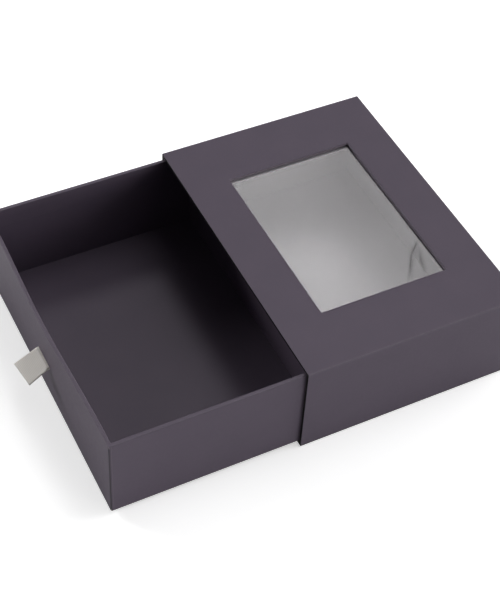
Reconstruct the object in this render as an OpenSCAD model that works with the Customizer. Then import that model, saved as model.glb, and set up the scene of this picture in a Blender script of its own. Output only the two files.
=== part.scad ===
// Sliding drawer gift box: a wrapped greyboard sleeve with a film window, and a tray that slides in it.
// The origin is the centre of the sleeve's underside. The drawer opens towards -Y, and +Z is up.
// Left and right are as seen from the drawer's front, so right is +X.

/* [Sleeve] */
// Width of the sleeve from side to side
sleeve_w = 210; // [180:1:300]
// Length of the sleeve from its mouth to its closed back
sleeve_l = 150; // [124:1:240]
// Height of the sleeve
sleeve_h = 70; // [58:1:110]

/* [Board and papers] */
// Thickness of the greyboard
board = 2; // [1.5:0.1:3]
// Thickness of the outer paper with its glue
wrap = 0.2; // [0.15:0.01:0.3]
// Thickness of the lining paper with its glue
lining = 0.15; // [0.1:0.01:0.2]
// Width of outer paper turned in over an edge
turn_in = 15; // [10:1:18]
// Distance of the underside papers from the outline
base_inset = 3; // [1:0.5:8]

/* [Window] */
// Width of the border of the lid at each side of the window
side_border = 40.5; // [18:0.5:60]
// Width of the border of the lid before and behind the window
end_border = 30; // [18:0.5:45]
// Width of outer paper turned in behind the window's edge
window_turn_in = 12; // [8:1:14]
// Width of film behind the board all round the window
film_lap = 10; // [6:0.5:14]
// Thickness of the window film
film_t = 0.2; // [0.1:0.05:0.4]
// Width of the double-sided tape that holds the film
tape_w = 6; // [3:0.5:6]
// Thickness of the double-sided tape
tape_t = 0.1; // [0.05:0.01:0.2]

/* [Drawer fit] */
// Clearance between the drawer and the sleeve at each side
side_gap = 0.35; // [0.2:0.05:1]
// Clearance over the drawer's rim, under the film
top_gap = 0.3; // [0.2:0.05:1]
// Clearance under the drawer
foot_gap = 0.25; // [0.1:0.05:1]
// Clearance behind the drawer when it is closed
back_gap = 0.65; // [0.3:0.05:3]
// Length of drawer that is still inside the sleeve when it stands open
kept_in = 21; // [8:1:100]

/* [Ribbon pull] */
// Width of the ribbon
ribbon_w = 19; // [10:1:30]
// Thickness of the ribbon
ribbon_t = 0.3; // [0.2:0.05:0.5]
// Distance of the ribbon's slit below the middle of the front panel
slit_drop = 1; // [0:0.5:4]
// Gap between the two plies of the folded tab
ply_gap = 0.3; // [0.1:0.05:0.6]
// Straight length of tab next to the front panel
tab_root = 1.5; // [0.5:0.5:4]
// Radius in which the tab droops
droop_r = 13; // [8:1:20]
// Angle through which the tab droops
droop_angle = 48; // [5:1:60]
// Straight length of tab past the droop
tab_end = 6; // [3:0.5:12]
// Length of each glued tail behind the front board
tail_l = 15; // [8:0.5:16]
// Clearance all round the ribbon in its slit
slit_gap = 0.15; // [0.1:0.05:0.5]
// Margin of the paper patch round the ribbon's tails
patch_margin = 2; // [1:0.5:4]
// Thickness of the paper patch
patch_t = 0.1; // [0.05:0.01:0.2]

/* [Corner stays] */
// Width of each leg of a corner stay
stay_leg = 12; // [6:0.5:20]
// Thickness of a corner stay
stay_t = 0.1; // [0.05:0.01:0.12]
// Distance of a corner stay from the ends of its corner
stay_end = 2; // [1:0.5:6]

/* [Hidden] */

through = 1;          // how far a cutting block runs past what it cuts
droop_steps = 12;     // straight steps in the tab's droop
fold_steps = 8;       // straight steps in the tab's fold

greyboard_colour = "#9b9690";
wrap_colour = "#5a525d";
black_colour = "#1e1c1f";
film_colour = "#c9ced2";
film_alpha = 0.4;
tape_colour = "#e8e4da";
kraft_colour = "#b08d62";
ribbon_colour = "#b8b2ac";

// The sleeve, from the outside in
half_w = sleeve_w / 2;
mouth_y = -sleeve_l / 2;
back_y = sleeve_l / 2;
sleeve_board_x = half_w - wrap;
sleeve_inner_x = sleeve_board_x - board;
sleeve_clear_x = sleeve_inner_x - lining;
sleeve_board_front = mouth_y + wrap;
mouth_lining_y = max(mouth_y, sleeve_board_front - lining);
sleeve_board_back = back_y - wrap;
sleeve_inner_back = sleeve_board_back - board;
sleeve_foot_z = 2 * wrap;
sleeve_floor_z = sleeve_foot_z + board;
sleeve_top_z = sleeve_h - wrap;
sleeve_ceiling_z = sleeve_top_z - board;
turn_in_end_y = mouth_y + turn_in;

// The window and what hangs under it
window_x = half_w - side_border;
window_y = back_y - end_border;
window_tape_z = sleeve_ceiling_z - wrap;
film_top_z = window_tape_z - tape_t;
film_foot_z = film_top_z - film_t;
film_x = window_x + film_lap;
film_y = window_y + film_lap;

// The drawer, sized by the room inside the sleeve
drawer_x = sleeve_clear_x - side_gap;
drawer_top_z = film_foot_z - top_gap;
drawer_foot_z = sleeve_floor_z + lining + foot_gap;
drawer_l = sleeve_inner_back - lining - back_gap - mouth_y;
drawer_rear_y = mouth_y + kept_in;
drawer_front_y = drawer_rear_y - drawer_l;
drawer_board_x = drawer_x - wrap;
drawer_inner_x = drawer_board_x - board;
drawer_board_front = drawer_front_y + wrap;
drawer_board_rear = drawer_rear_y - wrap;
drawer_inner_front = drawer_board_front + board;
drawer_inner_rear = drawer_board_rear - board;
drawer_base_z = drawer_foot_z + 2 * wrap;
drawer_floor_z = drawer_base_z + board;
drawer_rim_z = drawer_top_z - wrap;
liner_top_z = drawer_top_z - turn_in;

// The ribbon, its slit and its patch
slit_z = (drawer_foot_z + drawer_top_z) / 2 - slit_drop;
tab_half_t = ribbon_t + ply_gap / 2;
slit_half_w = ribbon_w / 2 + slit_gap;
slit_half_h = tab_half_t + slit_gap;
tail_top_z = min(slit_z + tail_l, liner_top_z - patch_margin - 2 * lining);
tail_foot_z = max(slit_z - tail_l, drawer_floor_z + patch_margin + 2 * lining);
patch_half_w = ribbon_w / 2 + patch_margin;
patch_y = drawer_inner_front + ribbon_t + patch_t;

// A box between two corners
module block(low, high) {
    translate(low) cube(high - low);
}

// An upright rectangular ring
module ring_z(half, low_y, high_y, low_z, high_z, wall) {
    difference() {
        block([-half, low_y, low_z], [half, high_y, high_z]);
        block(
            [wall - half, low_y + wall, low_z - through],
            [half - wall, high_y - wall, high_z + through]
        );
    }
}

// A block as large as the window and a margin round it
module window_block(margin, low_z, high_z) {
    block(
        [-window_x - margin, -window_y - margin, low_z],
        [window_x + margin, window_y + margin, high_z]
    );
}

// The slit that the folded ribbon passes through, cut from the front of the drawer to end_y
module ribbon_slit(end_y) {
    block(
        [-slit_half_w, drawer_front_y - through, slit_z - slit_half_h],
        [slit_half_w, end_y, slit_z + slit_half_h]
    );
}

// ---- The sleeve's boards ----

module sleeve_top_board() {
    color(greyboard_colour) difference() {
        block(
            [-sleeve_board_x, sleeve_board_front, sleeve_ceiling_z],
            [sleeve_board_x, sleeve_board_back, sleeve_top_z]
        );
        window_block(wrap, sleeve_ceiling_z - through, sleeve_top_z + through);
    }
}

module sleeve_bottom_board() {
    color(greyboard_colour)
        block(
            [-sleeve_board_x, sleeve_board_front, sleeve_foot_z],
            [sleeve_board_x, sleeve_board_back, sleeve_floor_z]
        );
}

module sleeve_side_board(low_x) {
    color(greyboard_colour)
        block(
            [low_x, sleeve_board_front, sleeve_floor_z],
            [low_x + board, sleeve_board_back, sleeve_ceiling_z]
        );
}

module sleeve_back_board() {
    color(greyboard_colour)
        block(
            [-sleeve_inner_x, sleeve_inner_back, sleeve_floor_z],
            [sleeve_inner_x, sleeve_board_back, sleeve_ceiling_z]
        );
}

// ---- The sleeve's papers and window ----

// One sheet over the top, the sides and the back, turned in at the window and the underside.
// It is cut off level with the mouth.
module sleeve_wrap() {
    color(wrap_colour) difference() {
        union() {
            difference() {
                block([-half_w, mouth_y, wrap], [half_w, back_y, sleeve_h]);
                block(
                    [-sleeve_board_x, mouth_y - through, sleeve_foot_z],
                    [sleeve_board_x, sleeve_board_back, sleeve_top_z]
                );
            }
            window_block(wrap, window_tape_z, sleeve_h);
            window_block(window_turn_in, window_tape_z, sleeve_ceiling_z);
        }
        block(
            [turn_in - half_w, mouth_y - through, 0],
            [half_w - turn_in, back_y - turn_in, sleeve_foot_z]
        );
        window_block(0, window_tape_z - through, sleeve_h + through);
    }
}

module sleeve_base_paper() {
    color(wrap_colour)
        block(
            [base_inset - half_w, mouth_y + base_inset, 0],
            [half_w - base_inset, back_y - base_inset, wrap]
        );
}

// Paper round the cavity, carried round the edge of the mouth and turned under the bottom board
module sleeve_lining() {
    color(black_colour) difference() {
        union() {
            block(
                [-sleeve_board_x, mouth_lining_y, sleeve_foot_z],
                [sleeve_board_x, sleeve_board_front, sleeve_top_z]
            );
            block(
                [-sleeve_inner_x, sleeve_board_front, sleeve_floor_z],
                [sleeve_inner_x, sleeve_inner_back, sleeve_ceiling_z]
            );
            block(
                [turn_in - half_w, mouth_lining_y, sleeve_foot_z - lining],
                [half_w - turn_in, turn_in_end_y, sleeve_foot_z]
            );
        }
        block(
            [-sleeve_clear_x, mouth_y - through, sleeve_floor_z + lining],
            [sleeve_clear_x, sleeve_inner_back + through, sleeve_ceiling_z - lining]
        );
        window_block(window_turn_in, window_tape_z - through, sleeve_ceiling_z + through);
    }
}

module sleeve_back_lining() {
    color(black_colour)
        block(
            [lining - sleeve_inner_x, sleeve_inner_back - lining, sleeve_floor_z + lining],
            [sleeve_inner_x - lining, sleeve_inner_back, sleeve_ceiling_z - lining]
        );
}

module window_film() {
    color(film_colour, film_alpha)
        block([-film_x, -film_y, film_foot_z], [film_x, film_y, film_top_z]);
}

// A strip along the window's left or right edge
module film_tape_side(low_x) {
    color(tape_colour) block([low_x, -film_y, film_top_z], [low_x + tape_w, film_y, window_tape_z]);
}

// A strip along the window's front or rear edge, between the side strips
module film_tape_end(low_y) {
    color(tape_colour)
        block([tape_w - film_x, low_y, film_top_z], [film_x - tape_w, low_y + tape_w, window_tape_z]);
}

// ---- The drawer's boards ----

module drawer_base_board() {
    color(greyboard_colour)
        block(
            [-drawer_board_x, drawer_board_front, drawer_base_z],
            [drawer_board_x, drawer_board_rear, drawer_floor_z]
        );
}

module drawer_side_board(low_x) {
    color(greyboard_colour)
        block(
            [low_x, drawer_board_front, drawer_floor_z],
            [low_x + board, drawer_board_rear, drawer_rim_z]
        );
}

module drawer_end_board(low_y) {
    color(greyboard_colour)
        block([-drawer_inner_x, low_y, drawer_floor_z], [drawer_inner_x, low_y + board, drawer_rim_z]);
}

module drawer_front_board() {
    color(greyboard_colour) difference() {
        drawer_end_board(drawer_board_front);
        ribbon_slit(drawer_inner_front + through);
    }
}

// A strip of paper folded round one upright corner. side is -1 at the left and 1 at the right,
// end_y is the outer face of the end board, and inward is 1 or -1, the way from there to the middle.
module corner_stay(side, end_y, inward) {
    stay_x = drawer_board_x + stay_t;
    stay_h = drawer_rim_z - drawer_base_z - 2 * stay_end;
    color(kraft_colour)
        translate([0, 0, drawer_base_z + stay_end])
            linear_extrude(stay_h) polygon([
                [side * stay_x, end_y - inward * stay_t],
                [side * stay_x, end_y + inward * stay_leg],
                [side * drawer_board_x, end_y + inward * stay_leg],
                [side * drawer_board_x, end_y],
                [side * (drawer_board_x - stay_leg), end_y],
                [side * (drawer_board_x - stay_leg), end_y - inward * stay_t],
            ]);
}

// ---- The drawer's papers ----

// One sheet over the walls, turned in over the rim and under the base
module drawer_wrap() {
    color(wrap_colour) difference() {
        block([-drawer_x, drawer_front_y, drawer_foot_z + wrap], [drawer_x, drawer_rear_y, drawer_top_z]);
        difference() {
            block(
                [-drawer_board_x, drawer_board_front, drawer_base_z],
                [drawer_board_x, drawer_board_rear, drawer_rim_z]
            );
            ring_z(drawer_inner_x, drawer_inner_front, drawer_inner_rear, liner_top_z, drawer_top_z, wrap);
        }
        block(
            [wrap - drawer_inner_x, drawer_inner_front + wrap, drawer_floor_z],
            [drawer_inner_x - wrap, drawer_inner_rear - wrap, drawer_top_z + through]
        );
        block(
            [turn_in - drawer_x, drawer_front_y + turn_in, drawer_foot_z],
            [drawer_x - turn_in, drawer_rear_y - turn_in, drawer_base_z]
        );
        ribbon_slit(drawer_board_front);
        for (side = [-1, 1]) {
            corner_stay(side, drawer_board_front, 1);
            corner_stay(side, drawer_board_rear, -1);
        }
    }
}

module drawer_base_paper() {
    color(wrap_colour)
        block(
            [base_inset - drawer_x, drawer_front_y + base_inset, drawer_foot_z],
            [drawer_x - base_inset, drawer_rear_y - base_inset, drawer_foot_z + wrap]
        );
}

// A strip round the inside of the walls, raised where it crosses the ribbon's patch
module drawer_wall_liner() {
    patch_low = [-patch_half_w, drawer_inner_front, tail_foot_z - patch_margin];
    patch_high = [patch_half_w, patch_y, tail_top_z + patch_margin];
    color(wrap_colour) difference() {
        union() {
            ring_z(
                drawer_inner_x, drawer_inner_front, drawer_inner_rear,
                drawer_floor_z, liner_top_z, lining
            );
            block(patch_low - [lining, 0, lining], patch_high + [lining, lining, lining]);
        }
        block(patch_low - [0, through, 0], patch_high);
    }
}

module drawer_floor_liner() {
    color(wrap_colour)
        block(
            [lining - drawer_inner_x, drawer_inner_front + lining, drawer_floor_z],
            [drawer_inner_x - lining, drawer_inner_rear - lining, drawer_floor_z + lining]
        );
}

// ---- The ribbon ----

// The tab's middle line as [y, z, angle below level], from behind the front board to the fold
tab_line = concat(
    [[drawer_inner_front + ribbon_t, slit_z, 0]],
    [
        for (i = [0:droop_steps])
            let (angle = i * droop_angle / droop_steps)
                [
                    drawer_front_y - tab_root - droop_r * sin(angle),
                    slit_z - droop_r * (1 - cos(angle)),
                    angle,
                ]
    ],
    [[
        drawer_front_y - tab_root - droop_r * sin(droop_angle) - tab_end * cos(droop_angle),
        slit_z - droop_r * (1 - cos(droop_angle)) - tab_end * sin(droop_angle),
        droop_angle,
    ]]
);
tab_points = len(tab_line);

// The tab's middle line thickened to both sides and rounded at the fold
module tab_outline(half_t) {
    fold = tab_line[tab_points - 1];
    polygon(concat(
        [for (p = tab_line) [p[0] - half_t * sin(p[2]), p[1] + half_t * cos(p[2])]],
        [
            for (i = [1:fold_steps - 1])
                let (turn = fold[2] + 180 * i / fold_steps)
                    [fold[0] - half_t * sin(turn), fold[1] + half_t * cos(turn)]
        ],
        [
            for (i = [tab_points - 1:-1:0])
                let (p = tab_line[i]) [p[0] + half_t * sin(p[2]), p[1] - half_t * cos(p[2])]
        ]
    ));
}

// One strip folded double: both plies pass through the slit, and the tails spread up and down behind it
module ribbon_pull() {
    color(ribbon_colour)
        translate([-ribbon_w / 2, 0, 0])
            rotate([90, 0, 90])
                linear_extrude(ribbon_w) difference() {
                    union() {
                        tab_outline(tab_half_t);
                        translate([drawer_inner_front, tail_foot_z])
                            square([ribbon_t, tail_top_z - tail_foot_z]);
                    }
                    tab_outline(ply_gap / 2);
                }
}

module ribbon_patch() {
    color(kraft_colour) difference() {
        block(
            [-patch_half_w, drawer_inner_front, tail_foot_z - patch_margin],
            [patch_half_w, patch_y, tail_top_z + patch_margin]
        );
        block(
            [-ribbon_w / 2, drawer_inner_front - through, tail_foot_z],
            [ribbon_w / 2, drawer_inner_front + ribbon_t, tail_top_z]
        );
    }
}

sleeve_top_board();
sleeve_bottom_board();
sleeve_side_board(-sleeve_board_x);  // sleeve_left_board
sleeve_side_board(sleeve_inner_x);  // sleeve_right_board
sleeve_back_board();
sleeve_wrap();
sleeve_base_paper();
sleeve_lining();
sleeve_back_lining();
window_film();
film_tape_side(-film_x);  // film_tape_left
film_tape_side(film_x - tape_w);  // film_tape_right
film_tape_end(-film_y);  // film_tape_front
film_tape_end(film_y - tape_w);  // film_tape_rear
drawer_base_board();
drawer_front_board();
drawer_end_board(drawer_inner_rear);  // drawer_rear_board
drawer_side_board(-drawer_board_x);  // drawer_left_board
drawer_side_board(drawer_inner_x);  // drawer_right_board
corner_stay(-1, drawer_board_front, 1);  // corner_stay_front_left
corner_stay(1, drawer_board_front, 1);  // corner_stay_front_right
corner_stay(-1, drawer_board_rear, -1);  // corner_stay_rear_left
corner_stay(1, drawer_board_rear, -1);  // corner_stay_rear_right
drawer_wrap();
drawer_base_paper();
drawer_wall_liner();
drawer_floor_liner();
ribbon_pull();
ribbon_patch();
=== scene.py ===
import math

import bmesh
import bpy
from mathutils import Matrix, Vector


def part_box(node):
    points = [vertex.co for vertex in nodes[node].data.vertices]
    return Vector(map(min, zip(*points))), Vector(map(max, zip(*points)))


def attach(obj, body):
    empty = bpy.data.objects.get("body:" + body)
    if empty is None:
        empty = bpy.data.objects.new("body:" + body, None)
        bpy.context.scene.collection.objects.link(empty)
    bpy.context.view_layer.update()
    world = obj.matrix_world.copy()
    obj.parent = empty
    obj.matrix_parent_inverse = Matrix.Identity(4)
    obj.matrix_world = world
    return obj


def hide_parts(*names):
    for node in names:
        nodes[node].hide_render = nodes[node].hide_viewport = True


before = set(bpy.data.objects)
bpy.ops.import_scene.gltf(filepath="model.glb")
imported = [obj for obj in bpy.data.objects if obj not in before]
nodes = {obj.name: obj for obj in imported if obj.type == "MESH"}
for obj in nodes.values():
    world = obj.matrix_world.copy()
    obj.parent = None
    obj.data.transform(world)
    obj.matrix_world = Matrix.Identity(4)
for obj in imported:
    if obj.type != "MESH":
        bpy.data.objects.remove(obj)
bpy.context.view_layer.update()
mm = 0.001
tiny = 1e-6     # metres; nearer than this is the same place


# sRGB hex to linear
def linear(hexColour):
    values = [int(hexColour[i:i + 2], 16) / 255 for i in (1, 3, 5)]
    return tuple(v / 12.92 if v <= 0.04045 else ((v + 0.055) / 1.055) ** 2.4 for v in values) + (1.0,)


def addNode(tree, kind, settings=None, inputs=None):
    node = tree.nodes.new("ShaderNode" + kind)
    for key, value in (settings or {}).items():
        setattr(node, key, value)
    for key, value in (inputs or {}).items():
        if isinstance(value, bpy.types.NodeSocket):
            tree.links.new(value, node.inputs[key])
        else:
            node.inputs[key].default_value = value
    return node


def newMaterial(name):
    material = bpy.data.materials.new(name)
    material.use_nodes = True
    tree = material.node_tree
    tree.nodes.clear()
    return material, tree, addNode(tree, "OutputMaterial")


# relief, and the varying paleness of rubbed folds and painted highlights, that all the papers and boards
# share
paperSurface = {
    "rippleMm": 2.5,
    "rippleShare": 0.6,         # of the ripple in the relief, beside the grain
    "bumpStrength": 0.25,
    "bumpHeight": 0.02 * mm,
    "grainTone": (0.93, 1.07),
    "rubFrom": (0.35, 0.7),     # the ripple's values where the pale of folds and painted highlights is least and most
    "rubAmount": (0.35, 0.6),
    "roughSpread": 0.05,
}


# the fold attribute is above 0 where the paper is painted pale, for rubbed folds and for painted highlights,
# and below 0 where painted shade darkens it
def paperMaterial(name, look):
    shared = paperSurface
    toneLow, toneHigh = shared["grainTone"]
    rippleLow, rippleHigh = shared["rubFrom"]
    leastPale, mostPale = shared["rubAmount"]
    material, tree, out = newMaterial(name)
    place = addNode(tree, "TexCoord").outputs["Object"]
    grain = addNode(tree, "TexNoise", {}, {
        "Vector": place, "Scale": 1 / (look["grainMm"] * mm), "Detail": 4.0, "Roughness": 0.6,
    }).outputs[0]
    cloud = addNode(tree, "TexNoise", {}, {
        "Vector": place, "Scale": 1 / (look["mottleMm"] * mm), "Detail": 3.0, "Roughness": 0.5,
    }).outputs[0]
    ripple = addNode(tree, "TexNoise", {}, {
        "Vector": place, "Scale": 1 / (shared["rippleMm"] * mm), "Detail": 2.0, "Roughness": 0.5,
    }).outputs[0]
    fold = addNode(tree, "Attribute", {"attribute_name": "fold"}).outputs["Fac"]
    toned = addNode(tree, "Mix", {"data_type": "RGBA"}, {
        0: cloud, 6: linear(look["colour"]), 7: linear(look["mottle"]),
    }).outputs[2]
    grained = addNode(tree, "Mix", {"data_type": "RGBA", "blend_type": "MULTIPLY"}, {
        0: 1.0, 6: toned,
        7: addNode(tree, "MapRange", {}, {"Value": grain, 3: toneLow, 4: toneHigh}).outputs[0],
    }).outputs[2]
    paleShare = addNode(tree, "Math", {"operation": "MULTIPLY"}, {
        0: fold,
        1: addNode(tree, "MapRange", {}, {
            "Value": ripple, 1: rippleLow, 2: rippleHigh, 3: leastPale, 4: mostPale,
        }).outputs[0],
    }).outputs[0]
    # pale colour where the fold attribute is above 0: rubbed folds, and painted highlights
    paled = addNode(tree, "Mix", {"data_type": "RGBA"}, {
        0: paleShare, 6: grained, 7: linear(look["wear"]),
    }).outputs[2]
    # painted shade colour where the fold attribute is below 0
    inShade = addNode(tree, "Math", {"operation": "MULTIPLY", "use_clamp": True}, {
        0: fold, 1: -1.0,
    }).outputs[0]
    paintedShading = addNode(tree, "Mix", {"data_type": "RGBA"}, {
        0: inShade, 6: paled, 7: linear(look["crease"]),
    }).outputs[2]
    rough = addNode(tree, "MapRange", {}, {
        "Value": ripple,
        3: look["roughness"] - shared["roughSpread"], 4: look["roughness"] + shared["roughSpread"],
    }).outputs[0]
    height = addNode(tree, "Math", {"operation": "MULTIPLY_ADD"}, {
        0: ripple, 1: shared["rippleShare"], 2: grain,
    }).outputs[0]
    bump = addNode(tree, "Bump", {}, {
        "Strength": shared["bumpStrength"], "Distance": shared["bumpHeight"], "Height": height,
    }).outputs[0]
    shader = addNode(tree, "BsdfPrincipled", {}, {
        "Base Color": paintedShading, "Roughness": rough, "Specular IOR Level": look["specular"], "Normal": bump,
    })
    tree.links.new(shader.outputs[0], out.inputs[0])
    return material


# art paper, printed all over and laminated with matte film: even and soft, with a broad faint mottle and
# a low sheen. Its grain is really finer than this, and is drawn coarse enough to show
artPaper = paperMaterial("matte_laminated_art_paper", {
    "colour": "#4d4452", "mottle": "#544a58", "wear": "#7a727c", "crease": "#211d24",
    "roughness": 0.55, "specular": 0.35, "grainMm": 0.35, "mottleMm": 22.0,
})
# lining paper, dyed black in the pulp and left uncoated: dull, and drawn darker than black paper is, as
# painted shade in the sleeve's mouth and cavity
blackLiningAndShade = paperMaterial("black_uncoated_lining_paper", {
    "colour": "#121013", "mottle": "#161417", "wear": "#1e1c1f", "crease": "#0a090a",
    "roughness": 0.75, "specular": 0.25, "grainMm": 0.4, "mottleMm": 30.0,
})
# unbleached kraft paper: warm brown, clouded by its long fibres
kraftPaper = paperMaterial("brown_kraft_paper", {
    "colour": "#a8835a", "mottle": "#b8946a", "wear": "#c4a57e", "crease": "#7d6040",
    "roughness": 0.8, "specular": 0.3, "grainMm": 0.5, "mottleMm": 8.0,
})
# greyboard, pressed in layers from waste paper: dull warm grey with small clouds
greyboard = paperMaterial("recycled_greyboard", {
    "colour": "#8f8a84", "mottle": "#a29d97", "wear": "#b0aba4", "crease": "#6d6964",
    "roughness": 0.85, "specular": 0.3, "grainMm": 0.6, "mottleMm": 5.0,
})
# double-sided tape, tissue coated with adhesive on both faces: creamy white with a slight shine
tissueTape = paperMaterial("double_sided_tissue_tape", {
    "colour": "#e2ddd2", "mottle": "#ebe8df", "wear": "#ebe8df", "crease": "#b5b0a6",
    "roughness": 0.5, "specular": 0.4, "grainMm": 0.3, "mottleMm": 6.0,
})

filmLook = {
    "clear": "#fcfcfc",
    "shine": "#fffcff",
    "haze": "#a29da3",
    "hazeShare": 0.65,          # how much of the haze shows where the glue is thickest
    "kinkDulls": 0.5,
    "mirrored": 0.09,           # share of light that one face mirrors when seen square on
    "slantPower": 5.0,
    "roughness": (0.30, 0.32),
    "rippleMm": 9,
    "bumpStrength": 0.15,
    "bumpHeight": 0.02 * mm,
}


# clear PET film, extruded and stretched both ways: it mirrors the room softly, more at a low angle, through
# the faint ripples that stretching leaves, and shows a grey haze where the glue was pressed out
def filmMaterial(look):
    material, tree, out = newMaterial("clear_pet_film")
    place = addNode(tree, "TexCoord").outputs["Object"]
    ripple = addNode(tree, "TexNoise", {}, {
        "Vector": place, "Scale": 1 / (look["rippleMm"] * mm), "Detail": 2.0,
    }).outputs[0]
    bump = addNode(tree, "Bump", {}, {
        "Strength": look["bumpStrength"], "Distance": look["bumpHeight"], "Height": ripple,
    }).outputs[0]
    smooth, dull = look["roughness"]
    rough = addNode(tree, "MapRange", {}, {"Value": ripple, 3: smooth, 4: dull}).outputs[0]
    slant = addNode(tree, "LayerWeight", {}, {"Blend": 0.5}).outputs["Facing"]
    grazing = addNode(tree, "Math", {"operation": "POWER"}, {0: slant, 1: look["slantPower"]}).outputs[0]
    mirrored = addNode(tree, "Math", {"operation": "MULTIPLY_ADD"}, {
        0: grazing, 1: 1 - look["mirrored"], 2: look["mirrored"],
    }).outputs[0]
    glue = addNode(tree, "Attribute", {"attribute_name": "glue"}).outputs["Fac"]
    unkinked = addNode(tree, "Math", {"operation": "MULTIPLY_ADD", "use_clamp": True}, {
        0: glue, 1: look["kinkDulls"], 2: 1.0,
    }).outputs[0]
    dulled = addNode(tree, "Math", {"operation": "MULTIPLY"}, {0: mirrored, 1: unkinked}).outputs[0]
    clear = addNode(tree, "BsdfTransparent", {}, {"Color": linear(look["clear"])}).outputs[0]
    haze = addNode(tree, "BsdfDiffuse", {}, {"Color": linear(look["haze"])}).outputs[0]
    hazy = addNode(tree, "Math", {"operation": "MULTIPLY", "use_clamp": True}, {
        0: glue, 1: look["hazeShare"],
    }).outputs[0]
    body = addNode(tree, "MixShader", {}, {0: hazy, 1: clear, 2: haze}).outputs[0]
    gloss = addNode(tree, "BsdfAnisotropic", {"distribution": "BECKMANN"}, {
        "Color": linear(look["shine"]), "Roughness": rough, "Normal": bump,
    }).outputs[0]
    both = addNode(tree, "MixShader", {}, {0: dulled, 1: body, 2: gloss}).outputs[0]
    tree.links.new(both, out.inputs[0])
    return material


petFilm = filmMaterial(filmLook)

ribbonLook = {
    "colour": "#f1ebe4",
    "mottle": "#f8f2eb",
    "mottleMm": 6,
    "rowMm": 1.0,               # from one weft row to the next
    "rowTone": (0.93, 1.03),
    "bumpStrength": 0.4,
    "bumpHeight": 0.05 * mm,
    "roughness": 0.7,
    "sheen": 0.15,
    "specular": 0.3,
    "glow": 0.4,                # share of light that goes through the threads
    "glowReach": 0.5 * mm,
}


# polyester ribbon, plain woven from filament yarn: warm white, with fine rows across and a slight glow.
# Its rows are really closer together, and are drawn coarse enough to show
def ribbonMaterial(look):
    material, tree, out = newMaterial("woven_polyester_ribbon")
    place = addNode(tree, "UVMap").outputs[0]
    weft = addNode(tree, "TexWave", {"bands_direction": "Y"}, {
        "Vector": place, "Distortion": 0.4, "Detail": 1.0,
        "Scale": 2 * math.pi / 20 / (look["rowMm"] * mm),   # at a scale of 1 it repeats every 2 pi / 20
    }).outputs[1]
    cloud = addNode(tree, "TexNoise", {}, {
        "Vector": place, "Scale": 1 / (look["mottleMm"] * mm), "Detail": 3.0,
    }).outputs[0]
    tone = addNode(tree, "Mix", {"data_type": "RGBA"}, {
        0: cloud, 6: linear(look["colour"]), 7: linear(look["mottle"]),
    }).outputs[2]
    dark, light = look["rowTone"]
    woven = addNode(tree, "Mix", {"data_type": "RGBA", "blend_type": "MULTIPLY"}, {
        0: 1.0, 6: tone, 7: addNode(tree, "MapRange", {}, {"Value": weft, 3: dark, 4: light}).outputs[0],
    }).outputs[2]
    bump = addNode(tree, "Bump", {}, {
        "Strength": look["bumpStrength"], "Distance": look["bumpHeight"], "Height": weft,
    }).outputs[0]
    shader = addNode(tree, "BsdfPrincipled", {}, {
        "Base Color": woven, "Roughness": look["roughness"], "Sheen Weight": look["sheen"],
        "Specular IOR Level": look["specular"], "Normal": bump,
        "Subsurface Weight": look["glow"], "Subsurface Radius": (1.0, 1.0, 1.0),
        "Subsurface Scale": look["glowReach"],
    })
    tree.links.new(shader.outputs[0], out.inputs[0])
    return material


ribbonWeave = ribbonMaterial(ribbonLook)
print("materials made")


def boxMesh(low, high):
    mesh = bmesh.new()
    bmesh.ops.create_cube(mesh, size=1)
    low, high = Vector(low), Vector(high)
    size = high - low
    bmesh.ops.scale(mesh, vec=size, verts=mesh.verts)
    bmesh.ops.translate(mesh, vec=(low + high) / 2, verts=mesh.verts)
    return mesh


def cutAt(mesh, axis, values):
    direction = Vector([float(i == axis) for i in range(3)])
    for value in values:
        bmesh.ops.bisect_plane(
            mesh, geom=mesh.verts[:] + mesh.edges[:] + mesh.faces[:], dist=1e-8,
            plane_co=direction * value, plane_no=direction)


def dropFaces(mesh, test):
    gone = [f for f in mesh.faces if test(f.calc_center_median(), f.normal)]
    bmesh.ops.delete(mesh, geom=gone, context="FACES")


def openEdges(mesh, test):
    return [e for e in mesh.edges if e.is_boundary and all(test(v.co) for v in e.verts)]


# new faces from open edges, each new point put where move says
def pullEdges(mesh, edges, move):
    made = bmesh.ops.extrude_edge_only(mesh, edges=edges)["geom"]
    for v in made:
        if isinstance(v, bmesh.types.BMVert):
            v.co = move(v.co)
    return [e for e in made if isinstance(e, bmesh.types.BMEdge) and e.is_boundary]


foldAngle = 0.6     # radians; flatter edges than this aren't folds


def roundFolds(mesh, radius, steps, pick=lambda e: True):
    edges = [
        e for e in mesh.edges
        if len(e.link_faces) == 2 and e.calc_face_angle(0) > foldAngle and pick(e)
    ]
    lines = [(e.verts[0].co.copy(), e.verts[1].co.copy()) for e in edges]
    bmesh.ops.bevel(
        mesh, geom=edges, offset=radius, segments=steps, profile=0.5,
        affect="EDGES", clamp_overlap=False)
    return lines


# fold attribute: 1 along the lines, down to 0 at the reach
def markFolds(mesh, lines, reach):
    layer = mesh.verts.layers.float.new("fold")
    for v in mesh.verts:
        nearest = reach
        for a, b in lines:
            along = b - a
            t = max(0.0, min(1.0, (v.co - a).dot(along) / along.length_squared))
            nearest = min(nearest, (v.co - a - along * t).length)
        v[layer] = 1 - nearest / reach
    return layer


sharpAngle = math.radians(40)


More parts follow.
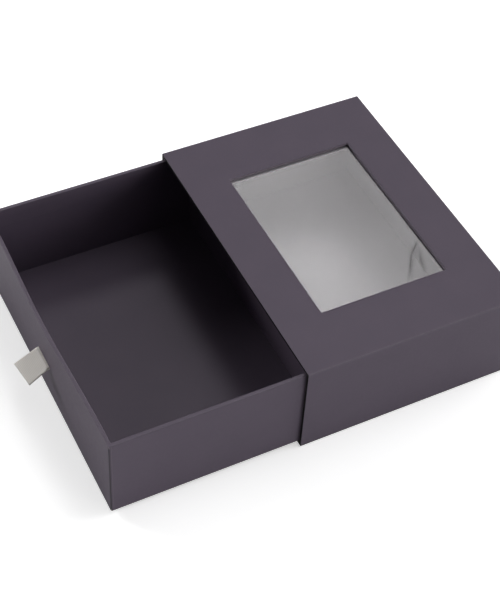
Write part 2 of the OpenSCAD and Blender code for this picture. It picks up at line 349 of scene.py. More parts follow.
def addPiece(name, mesh, body, material, replaces=(), thickness=0.0, offset=-1.0):
    data = bpy.data.meshes.new(name)
    mesh.to_mesh(data)
    mesh.free()
    data.polygons.foreach_set("use_smooth", [True] * len(data.polygons))
    data.set_sharp_from_angle(angle=sharpAngle)
    data.materials.append(material)
    piece = bpy.data.objects.new(name, data)
    bpy.context.scene.collection.objects.link(piece)
    if thickness:
        solid = piece.modifiers.new("paper", "SOLIDIFY")
        solid.thickness, solid.offset, solid.use_even_offset = thickness, offset, True
    piece.modifiers.new("normals", "WEIGHTED_NORMAL").keep_sharp = True
    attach(piece, body)
    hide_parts(*replaces)
    return piece


# keeps the CAD's own mesh, with a new material
def coverNode(node, material):
    nodes[node].data.materials.clear()
    nodes[node].data.materials.append(material)


def between(low, high, count):
    return [low + (high - low) * i / count for i in range(1, count)]


# the drawer's front panel bows out, most at the middle of its rim
bowShape = {
    "depth": 2.0 * mm,
    "halfWidth": 92 * mm,
    "foot": 3 * mm,
    "top": 67 * mm,
    "power": 1.3,
    "behind": -198.1 * mm,      # nothing behind this bends
}


def bow(co):
    across = max(0.0, math.cos(math.pi / 2 * min(1.0, abs(co.x) / bowShape["halfWidth"]))) ** 2
    up = max(0.0, (co.z - bowShape["foot"]) / (bowShape["top"] - bowShape["foot"])) ** bowShape["power"]
    return bowShape["depth"] * across * up


def bowFront(mesh):
    for v in mesh.verts:
        if v.co.y < bowShape["behind"]:
            v.co.y -= bow(v.co)


sleeveLow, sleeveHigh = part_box("sleeve_wrap")
filmLow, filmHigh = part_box("window_film")
sleeveWrapShape = {
    "fold": 0.5 * mm,           # radius of a fold over the board
    "margin": 1.8 * mm,         # strip of faces along each fold
    "turnIn": 15 * mm,
    "board": 2 * mm,
    "paper": 0.2 * mm,
    "windowTurnIn": 12 * mm,
    "windowDepth": 2.4 * mm,
    "windowFold": 0.9 * mm,
    "windowIn": 0.45 * mm,      # how far the paper stands in over the board's cut edge
    "filmOverlap": 10 * mm,     # how far the film goes on past the window
    "backFlapInset": 1.0 * mm,
    "backFlapProud": 0.12 * mm,
    "wearReach": 0.62 * mm,
    "edgeWear": (2.9, 0.8),     # painted highlight on the window's cut edge: how pale, at its ends and along its long sides
    "edgeWearFrom": 0.5 * mm,   # depth where that starts, and over how much more it grows
    "edgeWearOver": 0.7 * mm,
    "footShade": 0.6,           # painted shade along the table: how dark, and how high it goes
    "footHeight": 0.6 * mm,
}
windowHalf = [v - sleeveWrapShape["filmOverlap"] for v in (filmHigh.x, filmHigh.y)]


def makeSleeveWrap(shape):
    low, high = sleeveLow, sleeveHigh
    wx, wy = (v - shape["windowIn"] for v in windowHalf)
    near = shape["margin"]
    mesh = boxMesh(low, high)
    inside = high.x - shape["turnIn"]
    cutAt(mesh, 0, [s * v for s in (-1, 1) for v in (high.x - near, inside, wx, wx + near)])
    cutAt(mesh, 1, [-wy - near, -wy, wy, wy + near, high.y - near, high.y - shape["turnIn"]])
    cutAt(mesh, 2, [low.z + near, high.z - near])
    dropFaces(mesh, lambda c, n: (
        c.y < low.y + tiny
        or (c.z > high.z - tiny and abs(c.x) < wx and abs(c.y) < wy)
        or (c.z < low.z + tiny and abs(c.x) < inside and c.y < high.y - shape["turnIn"])
    ))
    rim = openEdges(mesh, lambda p: p.z > high.z - tiny and p.y > low.y + tiny)
    rim = pullEdges(mesh, rim, lambda p: p - Vector((0, 0, shape["windowDepth"])))
    reach = shape["windowTurnIn"]
    pullEdges(mesh, rim, lambda p: Vector((
        p.x + math.copysign(reach, p.x) * (abs(abs(p.x) - wx) < tiny),
        p.y + math.copysign(reach, p.y) * (abs(abs(p.y) - wy) < tiny),
        p.z,
    )))
    bmesh.ops.recalc_face_normals(mesh, faces=mesh.faces)
    mesh.faces.ensure_lookup_table()
    topFace = max(mesh.faces, key=lambda f: f.calc_center_median().z)
    if topFace.normal.z < 0:
        bmesh.ops.reverse_faces(mesh, faces=mesh.faces)

    def atWindow(e):
        return all(
            abs(v.co.x) < wx + tiny and abs(v.co.y) < wy + tiny and v.co.z > high.z - tiny for v in e.verts)

    lines = roundFolds(mesh, shape["windowFold"], 6, atWindow)
    lines += roundFolds(mesh, shape["fold"], 4, lambda e: (
        max(abs(v.co.x) for v in e.verts) > wx + mm or max(abs(v.co.y) for v in e.verts) > wy + mm
        or e.verts[0].co.z < high.z - shape["board"]))
    layer = markFolds(mesh, lines, shape["wearReach"])
    for v in mesh.verts:
        deep = high.z - v.co.z
        # the window's cut edge is painted pale, a painted highlight, most at its ends
        if abs(v.co.x) < wx + tiny and abs(v.co.y) < wy + tiny:
            wear = shape["edgeWear"][0 if wx - abs(v.co.x) < wy - abs(v.co.y) else 1]
            v[layer] = wear * max(0.0, min(1.0, (deep - shape["edgeWearFrom"]) / shape["edgeWearOver"]))
        # painted shade along the table
        elif v.co.z < low.z + shape["footHeight"]:
            v[layer] = -shape["footShade"]
    addPiece("sleeveWrap", mesh, "sleeve", artPaper, ["sleeve_wrap"], shape["paper"])


makeSleeveWrap(sleeveWrapShape)


def slabMesh(low, high, soft):
    mesh = boxMesh(low, high)
    bmesh.ops.bevel(mesh, geom=mesh.edges[:], offset=soft, segments=2, profile=0.5, affect="EDGES")
    return mesh


flapShape = {
    "soft": 0.04 * mm,
    "row": 0.5 * mm,            # strip of faces along the ends
    "wearReach": 0.45 * mm,
    "sunk": 0.05 * mm,          # how far it goes into the sheet below
    "short": 0.7 * mm,          # how far it stops short of the top and the foot
}


# the end of a sheet that lies on top of another at a corner
def makeFlap(name, low, high, body):
    row = flapShape["row"]
    mesh = slabMesh(low, high, flapShape["soft"])
    flat = 0 if high[0] - low[0] < high[1] - low[1] else 1
    long = 1 - flat
    cutAt(mesh, long, [low[long] + row, high[long] - row])
    cutAt(mesh, 2, [low[2] + row, high[2] - row])
    corners = []
    for end in (low[long], high[long]):
        ends = []
        for z in (low[2], high[2]):
            point = [0, 0, z]
            point[flat] = (low[flat] + high[flat]) / 2
            point[long] = end
            ends.append(Vector(point))
        corners.append(tuple(ends))
    markFolds(mesh, corners, flapShape["wearReach"])
    addPiece(name, mesh, body, artPaper)


inset, proud = sleeveWrapShape["backFlapInset"], sleeveWrapShape["backFlapProud"]
sunk, short = flapShape["sunk"], flapShape["short"]
makeFlap(
    "sleeveBackFlap",
    (sleeveLow.x + inset, sleeveHigh.y - sunk, sleeveLow.z + short),
    (sleeveHigh.x - inset, sleeveHigh.y + proud, sleeveHigh.z - short), "sleeve")
coverNode("sleeve_base_paper", artPaper)
print("sleeve paper made")

liningShape = {
    "paper": 0.15 * mm,
    "board": 2 * mm,
    "fold": 0.4 * mm,
    "turnUnder": 15 * mm,
    "underHalf": 90 * mm,       # half the width of what is turned under
    "wearReach": 0.8 * mm,
}


def makeSleeveLining(shape):
    outLow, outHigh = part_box("sleeve_lining")
    bottomLow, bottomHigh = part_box("sleeve_bottom_board")
    topLow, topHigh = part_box("sleeve_top_board")
    clearX = bottomHigh.x - shape["board"] - shape["paper"]
    floorZ = bottomHigh.z + shape["paper"]
    ceilingZ = topLow.z - shape["paper"]
    mesh = boxMesh((-clearX, outLow.y, floorZ), (clearX, outHigh.y, ceilingZ))
    holeX = windowHalf[0] + sleeveWrapShape["windowTurnIn"]
    holeY = windowHalf[1] + sleeveWrapShape["windowTurnIn"]
    cutAt(mesh, 0, [-holeX, holeX])
    cutAt(mesh, 1, [-holeY, holeY])
    dropFaces(mesh, lambda c, n: (
        c.y < outLow.y + tiny or c.y > outHigh.y - tiny
        or (c.z > ceilingZ - tiny and abs(c.x) < holeX and abs(c.y) < holeY)
    ))
    mouth = openEdges(mesh, lambda p: p.y < outLow.y + tiny)
    outer = pullEdges(mesh, mouth, lambda p: Vector((
        math.copysign(bottomHigh.x, p.x) if abs(abs(p.x) - clearX) < tiny else p.x,
        p.y,
        bottomLow.z if p.z < floorZ + tiny else topHigh.z if p.z > ceilingZ - tiny else p.z,
    )))
    under = [e for e in outer if all(v.co.z < bottomLow.z + tiny for v in e.verts)]
    pullEdges(mesh, under, lambda p: Vector((
        max(-shape["underHalf"], min(shape["underHalf"], p.x)), p.y + shape["turnUnder"], p.z)))
    bmesh.ops.recalc_face_normals(mesh, faces=mesh.faces)

    def fromFloor(face):
        middle = face.calc_center_median()
        return abs(middle.z - floorZ) + abs(middle.y)

    if min(mesh.faces, key=fromFloor).normal.z < 0:
        bmesh.ops.reverse_faces(mesh, faces=mesh.faces)
    lines = roundFolds(mesh, shape["fold"], 3, lambda e: all(v.co.y < outLow.y + tiny for v in e.verts))
    markFolds(mesh, lines, shape["wearReach"])
    # black lining, darker than real paper: painted shade
    addPiece("sleeveLining", mesh, "sleeve", blackLiningAndShade, ["sleeve_lining"], shape["paper"])


makeSleeveLining(liningShape)

drawerLow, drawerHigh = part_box("drawer_wrap")
drawerWrapShape = {
    "corner": 1.1 * mm,         # radius of an upright corner
    "fold": 0.5 * mm,
    "margin": 3.0 * mm,
    "turnIn": 15 * mm,
    "turnInRow": 6 * mm,        # a level cut in the turn-in, below the rim
    "board": 2 * mm,
    "paper": 0.2 * mm,
    "flapInset": 1.5 * mm,      # where a side sheet ends, from the corner
    "flapProud": 0.12 * mm,
    "wearReach": 0.62 * mm,
    "creaseWidth": 0.45,        # width of the painted shade line up a corner, as a share of its radius
    "cornerCrease": 0.8,        # how dark that painted shade is
    "pointWear": 2.6,           # painted highlight at the corner's point: how pale, and how far down
    "pointHeight": 0.7 * mm,
    "footShade": 0.6,
    "footHeight": 0.6 * mm,
}
slitZ = 33.9 * mm
slitHalf = (9.65 * mm, 0.6 * mm)
# cuts that let the front panel bow smoothly
frontColumns = between(-90 * mm, 90 * mm, 14)
frontRows = [12 * mm, 22 * mm, slitZ - slitHalf[1], slitZ + slitHalf[1], 44 * mm, 54 * mm]


def makeDrawerWrap(shape):
    low, high = drawerLow, drawerHigh
    near = shape["margin"]
    wall = shape["board"] + 2 * shape["paper"]
    mesh = boxMesh(low, high)
    inX, inY0, inY1 = high.x - wall, low.y + wall, high.y - wall
    marginX = high.x - shape["turnIn"]
    cutAt(mesh, 0, sorted(
        [s * v for s in (-1, 1) for v in (high.x - near, inX, marginX, slitHalf[0])]
        + frontColumns))
    marginY0, marginY1 = low.y + shape["turnIn"], high.y - shape["turnIn"]
    cutAt(mesh, 1, [low.y + near, inY0, marginY0, marginY1, inY1, high.y - near])
    cutAt(mesh, 2, [low.z + near] + frontRows + [high.z - near])
    dropFaces(mesh, lambda c, n: (
        (c.z > high.z - tiny and abs(c.x) < inX and inY0 < c.y < inY1)
        or (c.z < low.z + tiny and abs(c.x) < marginX and marginY0 < c.y < marginY1)
        or (c.y < low.y + tiny and abs(c.x) < slitHalf[0] and abs(c.z - slitZ) < slitHalf[1])
    ))
    rim = openEdges(mesh, lambda p: p.z > high.z - tiny)
    lower = pullEdges(mesh, rim, lambda p: p - Vector((0, 0, shape["turnInRow"])))
    pullEdges(mesh, lower, lambda p: p - Vector((0, 0, shape["turnIn"] - shape["turnInRow"])))
    bmesh.ops.recalc_face_normals(mesh, faces=mesh.faces)
    side = max(mesh.faces, key=lambda f: f.calc_center_median().x)
    if side.normal.x < 0:
        bmesh.ops.reverse_faces(mesh, faces=mesh.faces)

    def upright(e):
        a, b = e.verts[0].co, e.verts[1].co
        return abs(a.z - b.z) > tiny and abs(abs(a.x) - high.x) < tiny

    def level(e):
        a, b = e.verts[0].co, e.verts[1].co
        return abs(a.z - b.z) < tiny and (a.z > high.z - tiny or a.z < low.z + tiny)

    lines = roundFolds(mesh, shape["corner"], 5, upright)
    lines += roundFolds(mesh, shape["fold"], 4, level)
    layer = markFolds(mesh, lines, shape["wearReach"])
    # how far the painted shade line reaches from an upright corner
    paintedShading = shape["creaseWidth"] * shape["corner"]
    for v in mesh.verts:
        fromX, fromY = high.x - abs(v.co.x), min(v.co.y - low.y, high.y - v.co.y)
        # painted shade along the table
        if v.co.z < low.z + shape["footHeight"]:
            v[layer] = -shape["footShade"]
        # a painted shade line up each upright corner
        elif -tiny < fromX < paintedShading and -tiny < fromY < paintedShading:
            # with a painted highlight at the corner's top point
            atPoint = v.co.z > high.z - shape["pointHeight"]
            v[layer] = shape["pointWear"] if atPoint else -shape["cornerCrease"]
    bowFront(mesh)
    addPiece("drawerWrap", mesh, "drawer", artPaper, ["drawer_wrap"], shape["paper"])


makeDrawerWrap(drawerWrapShape)
inset, proud = drawerWrapShape["flapInset"], drawerWrapShape["flapProud"]
for side, word in ((-1, "Left"), (1, "Right")):
    spanX = sorted((side * (drawerHigh.x - sunk), side * (drawerHigh.x + proud)))
    makeFlap(
        "drawerFlap" + word,
        (spanX[0], drawerLow.y + inset, drawerLow.z + short),
        (spanX[1], drawerHigh.y - inset, drawerHigh.z - short), "drawer")
coverNode("drawer_base_paper", artPaper)
print("drawer paper made")

# over the ribbon's patch the liner is raised
linerShape = {
    "paper": 0.15 * mm,
    "fold": 0.5 * mm,
    "raise": 0.4 * mm,
    "slope": 1.5 * mm,
    "halfWidth": 11.5 * mm,
    "low": 16.9 * mm,
    "high": 50.9 * mm,
    "columns": (30 * mm, 50 * mm, 70 * mm, 88 * mm),
    "rows": (25 * mm, 34 * mm, 43 * mm),
}


def makeWallLiner(shape):
    outLow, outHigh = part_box("drawer_wall_liner")
    t = shape["paper"]
    low = Vector((outLow.x + t, outLow.y + t, outLow.z))
    high = Vector((outHigh.x - t, outHigh.y - t, outHigh.z))
    mesh = boxMesh(low, high)
    half, slope = shape["halfWidth"], shape["slope"]
    columns = (half, half + slope, *shape["columns"])
    cutAt(mesh, 0, sorted([s * v for s in (-1, 1) for v in columns] + [0.0]))
    cutAt(mesh, 2, sorted([shape["low"] - slope, shape["low"], shape["high"], *shape["rows"]]))
    dropFaces(mesh, lambda c, n: c.z > high.z - tiny or c.z < low.z + tiny)
    bmesh.ops.recalc_face_normals(mesh, faces=mesh.faces)
    side = max(mesh.faces, key=lambda f: f.calc_center_median().x)
    if side.normal.x > 0:
        bmesh.ops.reverse_faces(mesh, faces=mesh.faces)
    roundFolds(mesh, shape["fold"], 3)
    for v in mesh.verts:
        if v.co.y < low.y + tiny:
            dx = max(0.0, abs(v.co.x) - half) / slope
            dz = max(0.0, shape["low"] - v.co.z, v.co.z - shape["high"]) / slope
            v.co.y += shape["raise"] * max(0.0, 1 - math.hypot(dx, dz))
    bowFront(mesh)
    addPiece("drawerWallLiner", mesh, "drawer", artPaper, ["drawer_wall_liner"], t)


makeWallLiner(linerShape)
coverNode("drawer_floor_liner", artPaper)
# black lining, darker than real paper: painted shade
coverNode("sleeve_back_lining", blackLiningAndShade)
print("linings made")


def pieceName(node):
    return "".join(w.capitalize() if i else w for i, w in enumerate(node.split("_")))


boardShape = {
    "soft": 0.3 * mm,
    "corner": 0.9 * mm,
    "windowGap": 0.2 * mm,      # from the wrap's window to the board's
    "wearReach": 0.6 * mm,
}


# a board with the slightly crushed edges that the cutter leaves
def makeBoard(node, body, shape):
    low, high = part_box(node)
    mesh = boxMesh(low, high)
    if node == "sleeve_top_board":
        wx, wy = (v + shape["windowGap"] for v in windowHalf)
        cutAt(mesh, 0, [-wx, wx])
        cutAt(mesh, 1, [-wy, wy])
        dropFaces(mesh, lambda c, n: abs(n.z) > 0.9 and abs(c.x) < wx and abs(c.y) < wy)
        bmesh.ops.bridge_loops(mesh, edges=[e for e in mesh.edges if e.is_boundary])
    if node == "drawer_front_board":
        cutAt(mesh, 0, [-slitHalf[0], slitHalf[0]] + frontColumns)
        cutAt(mesh, 2, frontRows)
        dropFaces(mesh, lambda c, n: (
            abs(n.y) > 0.9 and abs(c.x) < slitHalf[0] and abs(c.z - slitZ) < slitHalf[1]))
        bmesh.ops.bridge_loops(mesh, edges=[e for e in mesh.edges if e.is_boundary])
    bmesh.ops.recalc_face_normals(mesh, faces=mesh.faces)
    if node in ("drawer_left_board", "drawer_right_board"):
        outX = low.x if abs(low.x) > abs(high.x) else high.x
        roundFolds(mesh, shape["corner"], 4, lambda e: (
            all(abs(v.co.x - outX) < tiny for v in e.verts)
            and abs(e.verts[0].co.z - e.verts[1].co.z) > tiny))
    lines = roundFolds(mesh, shape["soft"], 2)
    markFolds(mesh, lines, shape["wearReach"])
    if node == "drawer_front_board":
        bowFront(mesh)
    addPiece(pieceName(node), mesh, body, greyboard, [node])


for body, members in (("sleeve", ("top", "bottom", "left", "right", "back")),
                      ("drawer", ("base", "front", "rear", "left", "right"))):
    for word in members:
        makeBoard(f"{body}_{word}_board", body, boardShape)
print("boards made")

stayShape = {"leg": 12 * mm, "paper": 0.1 * mm, "radius": 1.0 * mm, "steps": 5}


# a paper strip, folded round an upright corner of the drawer's boards
def makeStay(node, shape):
    low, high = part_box(node)
    sideX = 1 if high.x > 0 else -1
    sideY = 1 if low.y + high.y > drawerLow.y + drawerHigh.y else -1
    outX = high.x if sideX > 0 else low.x
    outY = high.y if sideY > 0 else low.y
    r = shape["radius"]
    path = [(outX, outY - sideY * shape["leg"])]
    for i in range(shape["steps"] + 1):
        turn = math.radians(90) * i / shape["steps"]
        path.append((
            outX - sideX * r * (1 - math.cos(turn)),
            outY - sideY * r * (1 - math.sin(turn)),
        ))
    path.append((outX - sideX * shape["leg"], outY))
    mesh = bmesh.new()
    rows = [[mesh.verts.new((x, y, z)) for x, y in path] for z in (low.z, high.z)]
    for i in range(len(path) - 1):
        mesh.faces.new((rows[0][i], rows[0][i + 1], rows[1][i + 1], rows[1][i]))
    bmesh.ops.recalc_face_normals(mesh, faces=mesh.faces)
    if mesh.faces[:][0].normal.x * sideX < 0:
        bmesh.ops.reverse_faces(mesh, faces=mesh.faces)
    addPiece(pieceName(node), mesh, "drawer", kraftPaper, [node], shape["paper"])


for node in sorted(nodes):
    if node.startswith("corner_stay"):
        makeStay(node, stayShape)
print("corner stays made")

# the film isn't quite flat: long shallow ridges and hollows bend what it mirrors. Each is the middle,
# the way its width runs in radians, the half width, the half length and the height
filmShape = {
    "thickness": 0.2 * mm,
    "waves": (
        (-50.4, 12.1, 3.16, 10.6, 34.0, -0.09),
        (4.8, -4.1, 1.45, 45.0, 24.3, 0.69),
        (9.3, 18.7, 0.79, 45.0, 26.5, -0.53),
        (17.0, -35.7, 1.32, 18.3, 41.0, -0.39),
        (-13.3, 39.7, -1.52, 12.2, 33.7, -0.12),
    ),
    "creases": (        # the short kinks, which also dull the film
        (39.0, 36.4, 0.8, 0.9, 5.5, 0.03),
        (51.0, 26.4, 0.98, 0.9, 7.0, 0.03),
        (50.0, 35.2, 1.22, 0.9, 6.5, 0.03),
    ),
    "levelOver": 3 * mm,        # past the window it comes level again over this much
    "coarse": 2.4 * mm,
    "fine": 0.5 * mm,
    "fineFrom": (30 * mm, 16 * mm),     # the near rear corner, where the kinks are, has the fine mesh
    "glueWidth": (1.0 * mm, 6 * mm),    # even haze of glue along the far and rear edges, and where it ends
    "rearGlue": 0.3,
}


# how much of a wave there is at a point of the film, from 0 to 1
def share(wave, x, y):
    midX, midY, turn, halfWidth, halfLength = wave[:5]
    dx, dy = x / mm - midX, y / mm - midY
    across = (dx * math.cos(turn) + dy * math.sin(turn)) / halfWidth
    along = (dy * math.cos(turn) - dx * math.sin(turn)) / halfLength
    return math.exp(-(across ** 2 + along ** 2) / 2)


def filmHeight(shape, x, y):
    total = sum(wave[5] * mm * share(wave, x, y) for wave in shape["waves"] + shape["creases"])
    beyond = max(0.0, abs(x) - windowHalf[0], abs(y) - windowHalf[1])
    return total * max(0.0, 1 - beyond / shape["levelOver"])


# haze of glue at a point, and below 0 on a kink
def glueAt(shape, x, y):
    even, ends = shape["glueWidth"]
    fromEdges = (x + windowHalf[0], windowHalf[1] - y)
    far, rear = (min(1.0, max(0.0, (ends - d) / (ends - even))) ** 2 for d in fromEdges)
    kink = min(1.0, sum(share(crease, x, y) for crease in shape["creases"]))
    return max(far, shape["rearGlue"] * rear) - kink


def spaced(low, high, fineFrom, fineTo, coarse, fine):
    values = [low]
    while values[-1] < high - tiny:
        step = fine if fineFrom <= values[-1] < fineTo else coarse
        values.append(min(high, values[-1] + step))
    return values


def makeFilm(shape):
    low, high = filmLow, filmHigh
    mesh = bmesh.new()
    glue = mesh.verts.layers.float.new("glue")
    xs = spaced(low.x, high.x, shape["fineFrom"][0], windowHalf[0], shape["coarse"], shape["fine"])
    ys = spaced(low.y, high.y, shape["fineFrom"][1], windowHalf[1], shape["coarse"], shape["fine"])
    rows = []
    for y in ys:
        row = []
        for x in xs:
            v = mesh.verts.new((x, y, high.z + filmHeight(shape, x, y)))
            v[glue] = glueAt(shape, x, y)
            row.append(v)
        rows.append(row)
    for j in range(len(ys) - 1):
        for i in range(len(xs) - 1):
            mesh.faces.new((rows[j][i], rows[j][i + 1], rows[j + 1][i + 1], rows[j + 1][i]))
    addPiece("windowFilm", mesh, "sleeve", petFilm, ["window_film"], shape["thickness"])


makeFilm(filmShape)
for word in ("left", "right", "front", "rear"):
    coverNode("film_tape_" + word, tissueTape)
print("film made")

ribbonShape = {
    "width": 19 * mm,
    "thickness": 0.3 * mm,
    "apart": 0.3 * mm,          # from the middle of the tab to the middle of each ply
    "tail": 15 * mm,            # behind the front board, each way
    "behind": 2.35 * mm,        # from the front's face back to the tails
    "bend": 0.5 * mm,
    "bendTurns": (0.4, 0.8, 1.2),
    "root": 0.5 * mm,           # level out of the slit, then the bend down, then straight
    "droopRadius": 3 * mm,
    "droopAngle": math.radians(31),
    "end": 15.3 * mm,
    "twist": -0.04,             # how far the tab turns across its width: in height, and in reach
    "skew": 0.15,
    "skewOver": 15 * mm,
    "bowFrom": 2 * mm,          # what is nearer the face than this moves with the front's bow at the slit
    "tailSteps": 5,
    "droopSteps": 12,
    "endSteps": 4,
    "tipSteps": 8,
    "columns": 12,
}


def makeRibbon(shape):
    front = drawerLow.y
    behind = front + shape["behind"]
    apart = shape["apart"]
    tailHigh = slitZ + shape["tail"]
    middle = [(behind, slitZ, 0.0), (front, slitZ, 0.0), (front - shape["root"], slitZ, 0.0)]
    for i in range(1, shape["droopSteps"] + 1):
        turn = shape["droopAngle"] * i / shape["droopSteps"]
        middle.append((
            front - shape["root"] - shape["droopRadius"] * math.sin(turn),
            slitZ - shape["droopRadius"] * (1 - math.cos(turn)), turn))
    y, z, turn = middle[-1]
    for i in range(1, shape["endSteps"] + 1):
        length = shape["end"] * i / shape["endSteps"]
        middle.append((y - length * math.cos(turn), z - length * math.sin(turn), turn))
    upper = [(y - apart * math.sin(t), z + apart * math.cos(t)) for y, z, t in middle]
    lower = [(y + apart * math.sin(t), z - apart * math.cos(t)) for y, z, t in middle]
    tipY, tipZ, tipTurn = middle[-1]
    around = [tipTurn + math.pi * i / shape["tipSteps"] for i in range(1, shape["tipSteps"])]
    fold = [(tipY - apart * math.sin(t), tipZ + apart * math.cos(t)) for t in around]
    r = shape["bend"]
    straight = tailHigh - slitZ - apart - r
    steps = shape["tailSteps"]
    topTail = [(behind, tailHigh - straight * i / steps) for i in range(steps + 1)]
    topBend = [
        (behind - r + r * math.cos(a), slitZ + apart + r - r * math.sin(a)) for a in shape["bendTurns"]
    ]
    lowTail = [(p[0], 2 * slitZ - p[1]) for p in reversed(topTail)]
    lowBend = [(p[0], 2 * slitZ - p[1]) for p in reversed(topBend)]
    topHalf = topTail + topBend + [(behind - r, slitZ + apart)] + upper[1:]
    lowHalf = lower[:0:-1] + [(behind - r, slitZ - apart)] + lowBend + lowTail
    path = topHalf + fold + lowHalf
    mesh = bmesh.new()
    across = shape["columns"]
    uv = mesh.loops.layers.uv.new("weave")
    rows, lengths, total = [], [], 0.0
    for k, (y, z) in enumerate(path):
        if k:
            total += math.dist(path[k - 1], path[k])
        lengths.append(total)
        out = max(0.0, min(1.0, (front - y) / shape["skewOver"]))
        row = []
        for i in range(across + 1):
            x = shape["width"] * (i / across - 0.5)
            dy = shape["skew"] * x * out
            dz = shape["twist"] * x * out
            point = Vector((x, y + dy, z + dz))
            point.y -= bow(Vector((x, y, slitZ if y < front + shape["bowFrom"] else z)))
            row.append(mesh.verts.new(point))
        rows.append(row)
    for k in range(len(path) - 1):
        for i in range(across):
            face = mesh.faces.new((rows[k][i], rows[k][i + 1], rows[k + 1][i + 1], rows[k + 1][i]))
            for loop in face.loops:
                row = k if loop.vert in rows[k] else k + 1
                loop[uv].uv = (loop.vert.co.x + shape["width"] / 2, lengths[row])
    print("ribbon length", round(total / mm, 1), "mm")
    piece = addPiece(
        "ribbonPull", mesh, "drawer", ribbonWeave, ["ribbon_pull"], shape["thickness"], 0.0)
    return piece, total


ribbon, ribbonLength = makeRibbon(ribbonShape)

patchShape = {"paper": 0.1 * mm, "columns": (-6 * mm, 0, 6 * mm), "rows": (25 * mm, 34 * mm, 43 * mm)}


def makePatch(shape):
    low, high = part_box("ribbon_patch")
    mesh = boxMesh((low.x, high.y - shape["paper"], low.z), high)
    cutAt(mesh, 0, shape["columns"])
    cutAt(mesh, 2, shape["rows"])
    bowFront(mesh)
    addPiece("ribbonPatch", mesh, "drawer", kraftPaper, ["ribbon_patch"])


makePatch(patchShape)
print("ribbon made")

tablePlan = {
    "colour": "#f3f3f3",
    "roughness": 0.9,
    "halfSize": 4,      # metres
    "lift": 0.54,       # brings the open table to white, for the camera only
    "mirrored": 0.28,   # share of that lift that the film and the ribbon mirror
}


# a white table, painted matte: plain, and white to the edges of the picture
def makeFloor(plan):
    mesh = bmesh.new()
    bmesh.ops.create_grid(mesh, x_segments=1, y_segments=1, size=plan["halfSize"])
    data = bpy.data.meshes.new("floor")
    mesh.to_mesh(data)
    mesh.free()
    floor = bpy.data.objects.new("floor", data)
    bpy.context.scene.collection.objects.link(floor)
    material, tree, out = newMaterial("white_table")
    shader = addNode(tree, "BsdfPrincipled", {}, {
        "Base Color": linear(plan["colour"]), "Roughness": plan["roughness"], "Specular IOR Level": 0.0,
        "Emission Color": linear("#ffffff"),
    })
    path = addNode(tree, "LightPath")
    bent = addNode(tree, "Math", {"operation": "MAXIMUM"}, {
        0: path.outputs["Is Glossy Ray"], 1: path.outputs["Is Transmission Ray"],
    }).outputs[0]
    seen = addNode(tree, "Math", {"operation": "MULTIPLY_ADD", "use_clamp": True}, {
        0: bent, 1: plan["mirrored"], 2: path.outputs["Is Camera Ray"],
    }).outputs[0]
    boost = addNode(tree, "Math", {"operation": "MULTIPLY"}, {0: seen, 1: plan["lift"]}).outputs[0]
    tree.links.new(boost, shader.inputs["Emission Strength"])
    tree.links.new(shader.outputs[0], out.inputs[0])
    data.materials.append(material)


makeFloor(tablePlan)

# soft lights all round, as smooth patches of the sky: azimuth from +X towards +Y, and elevation, in degrees,
# then the angles from the middle where a patch starts to fade and where it ends
fillLight = 0.08
softLights = {
    "windowBehind": {"azimuth": 90, "elevation": 12, "full": 15, "ends": 35, "strength": 3.7},
    "overhead": {"azimuth": 90, "elevation": 64, "full": 10, "ends": 30, "strength": 1.9},
    "spotOnFilm": {"azimuth": 151.5, "elevation": 54.4, "full": 0.5, "ends": 9.0, "strength": 10.5},
    "nearSide": {"azimuth": 28, "elevation": 5, "full": 5, "ends": 22, "strength": 6.2},
    "frontLeft": {"azimuth": 212, "elevation": 17, "full": 4, "ends": 15, "strength": 16.8},
}


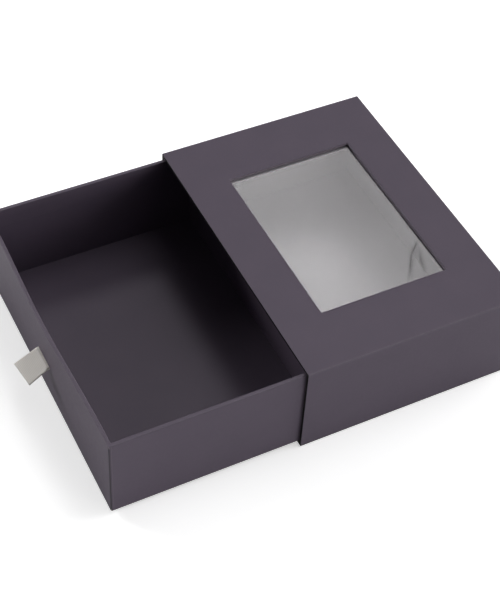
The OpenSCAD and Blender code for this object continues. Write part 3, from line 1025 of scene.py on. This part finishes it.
def makeWorld():
    world = bpy.data.worlds.new("studio")
    bpy.context.scene.world = world
    world.use_nodes = True
    tree = world.node_tree
    tree.nodes.clear()
    way = addNode(tree, "TexCoord").outputs["Generated"]
    total = addNode(tree, "Value").outputs[0]
    total.default_value = fillLight
    for plan in softLights.values():
        a, e = math.radians(plan["azimuth"]), math.radians(plan["elevation"])
        middle = (math.cos(a) * math.cos(e), math.sin(a) * math.cos(e), math.sin(e))
        near = addNode(tree, "VectorMath", {"operation": "DOT_PRODUCT"}, {0: way, 1: middle}).outputs["Value"]
        patch = addNode(tree, "MapRange", {"interpolation_type": "SMOOTHSTEP"}, {
            "Value": near, 3: 0.0, 4: plan["strength"],
            1: math.cos(math.radians(plan["ends"])), 2: math.cos(math.radians(plan["full"])),
        }).outputs[0]
        total = addNode(tree, "Math", {"operation": "ADD"}, {0: total, 1: patch}).outputs[0]
    path = addNode(tree, "LightPath")
    seen = addNode(tree, "Math", {"operation": "MAXIMUM"}, {
        0: path.outputs["Is Camera Ray"], 1: path.outputs["Is Transmission Ray"],
    }).outputs[0]
    lit = addNode(tree, "Background", {}, {"Color": linear("#ffffff"), "Strength": total})
    white = addNode(tree, "Background", {}, {"Color": linear("#ffffff"), "Strength": 1.0})
    both = addNode(tree, "MixShader", {}, {0: seen, 1: lit.outputs[0], 2: white.outputs[0]})
    addNode(tree, "OutputWorld", {}, {0: both.outputs[0]})


makeWorld()
print("table and lights made")

# solved from the box's edges in the photo; place in millimetres
cameraPlan = {
    "lens": 88.70,
    "sensor": 36,
    "near": 0.01,
    "far": 50,
    "place": (566.43, -377.09, 741.64),
    "right": (0.44464, 0.89455, 0.04542),
    "up": (-0.67869, 0.30338, 0.66883),
    "forward": (-0.58453, 0.32822, -0.74202),
}
cameraData = bpy.data.cameras.new("camera")
cameraData.lens, cameraData.sensor_width = cameraPlan["lens"], cameraPlan["sensor"]
cameraData.clip_start, cameraData.clip_end = cameraPlan["near"], cameraPlan["far"]
camera = bpy.data.objects.new("camera", cameraData)
bpy.context.scene.collection.objects.link(camera)
turned = Matrix((cameraPlan["right"], cameraPlan["up"], -Vector(cameraPlan["forward"]))).transposed()
camera.matrix_world = Matrix.Translation(Vector(cameraPlan["place"]) * mm) @ turned.to_4x4()
bpy.context.scene.camera = camera
bpy.context.scene.view_settings.view_transform = "Standard"
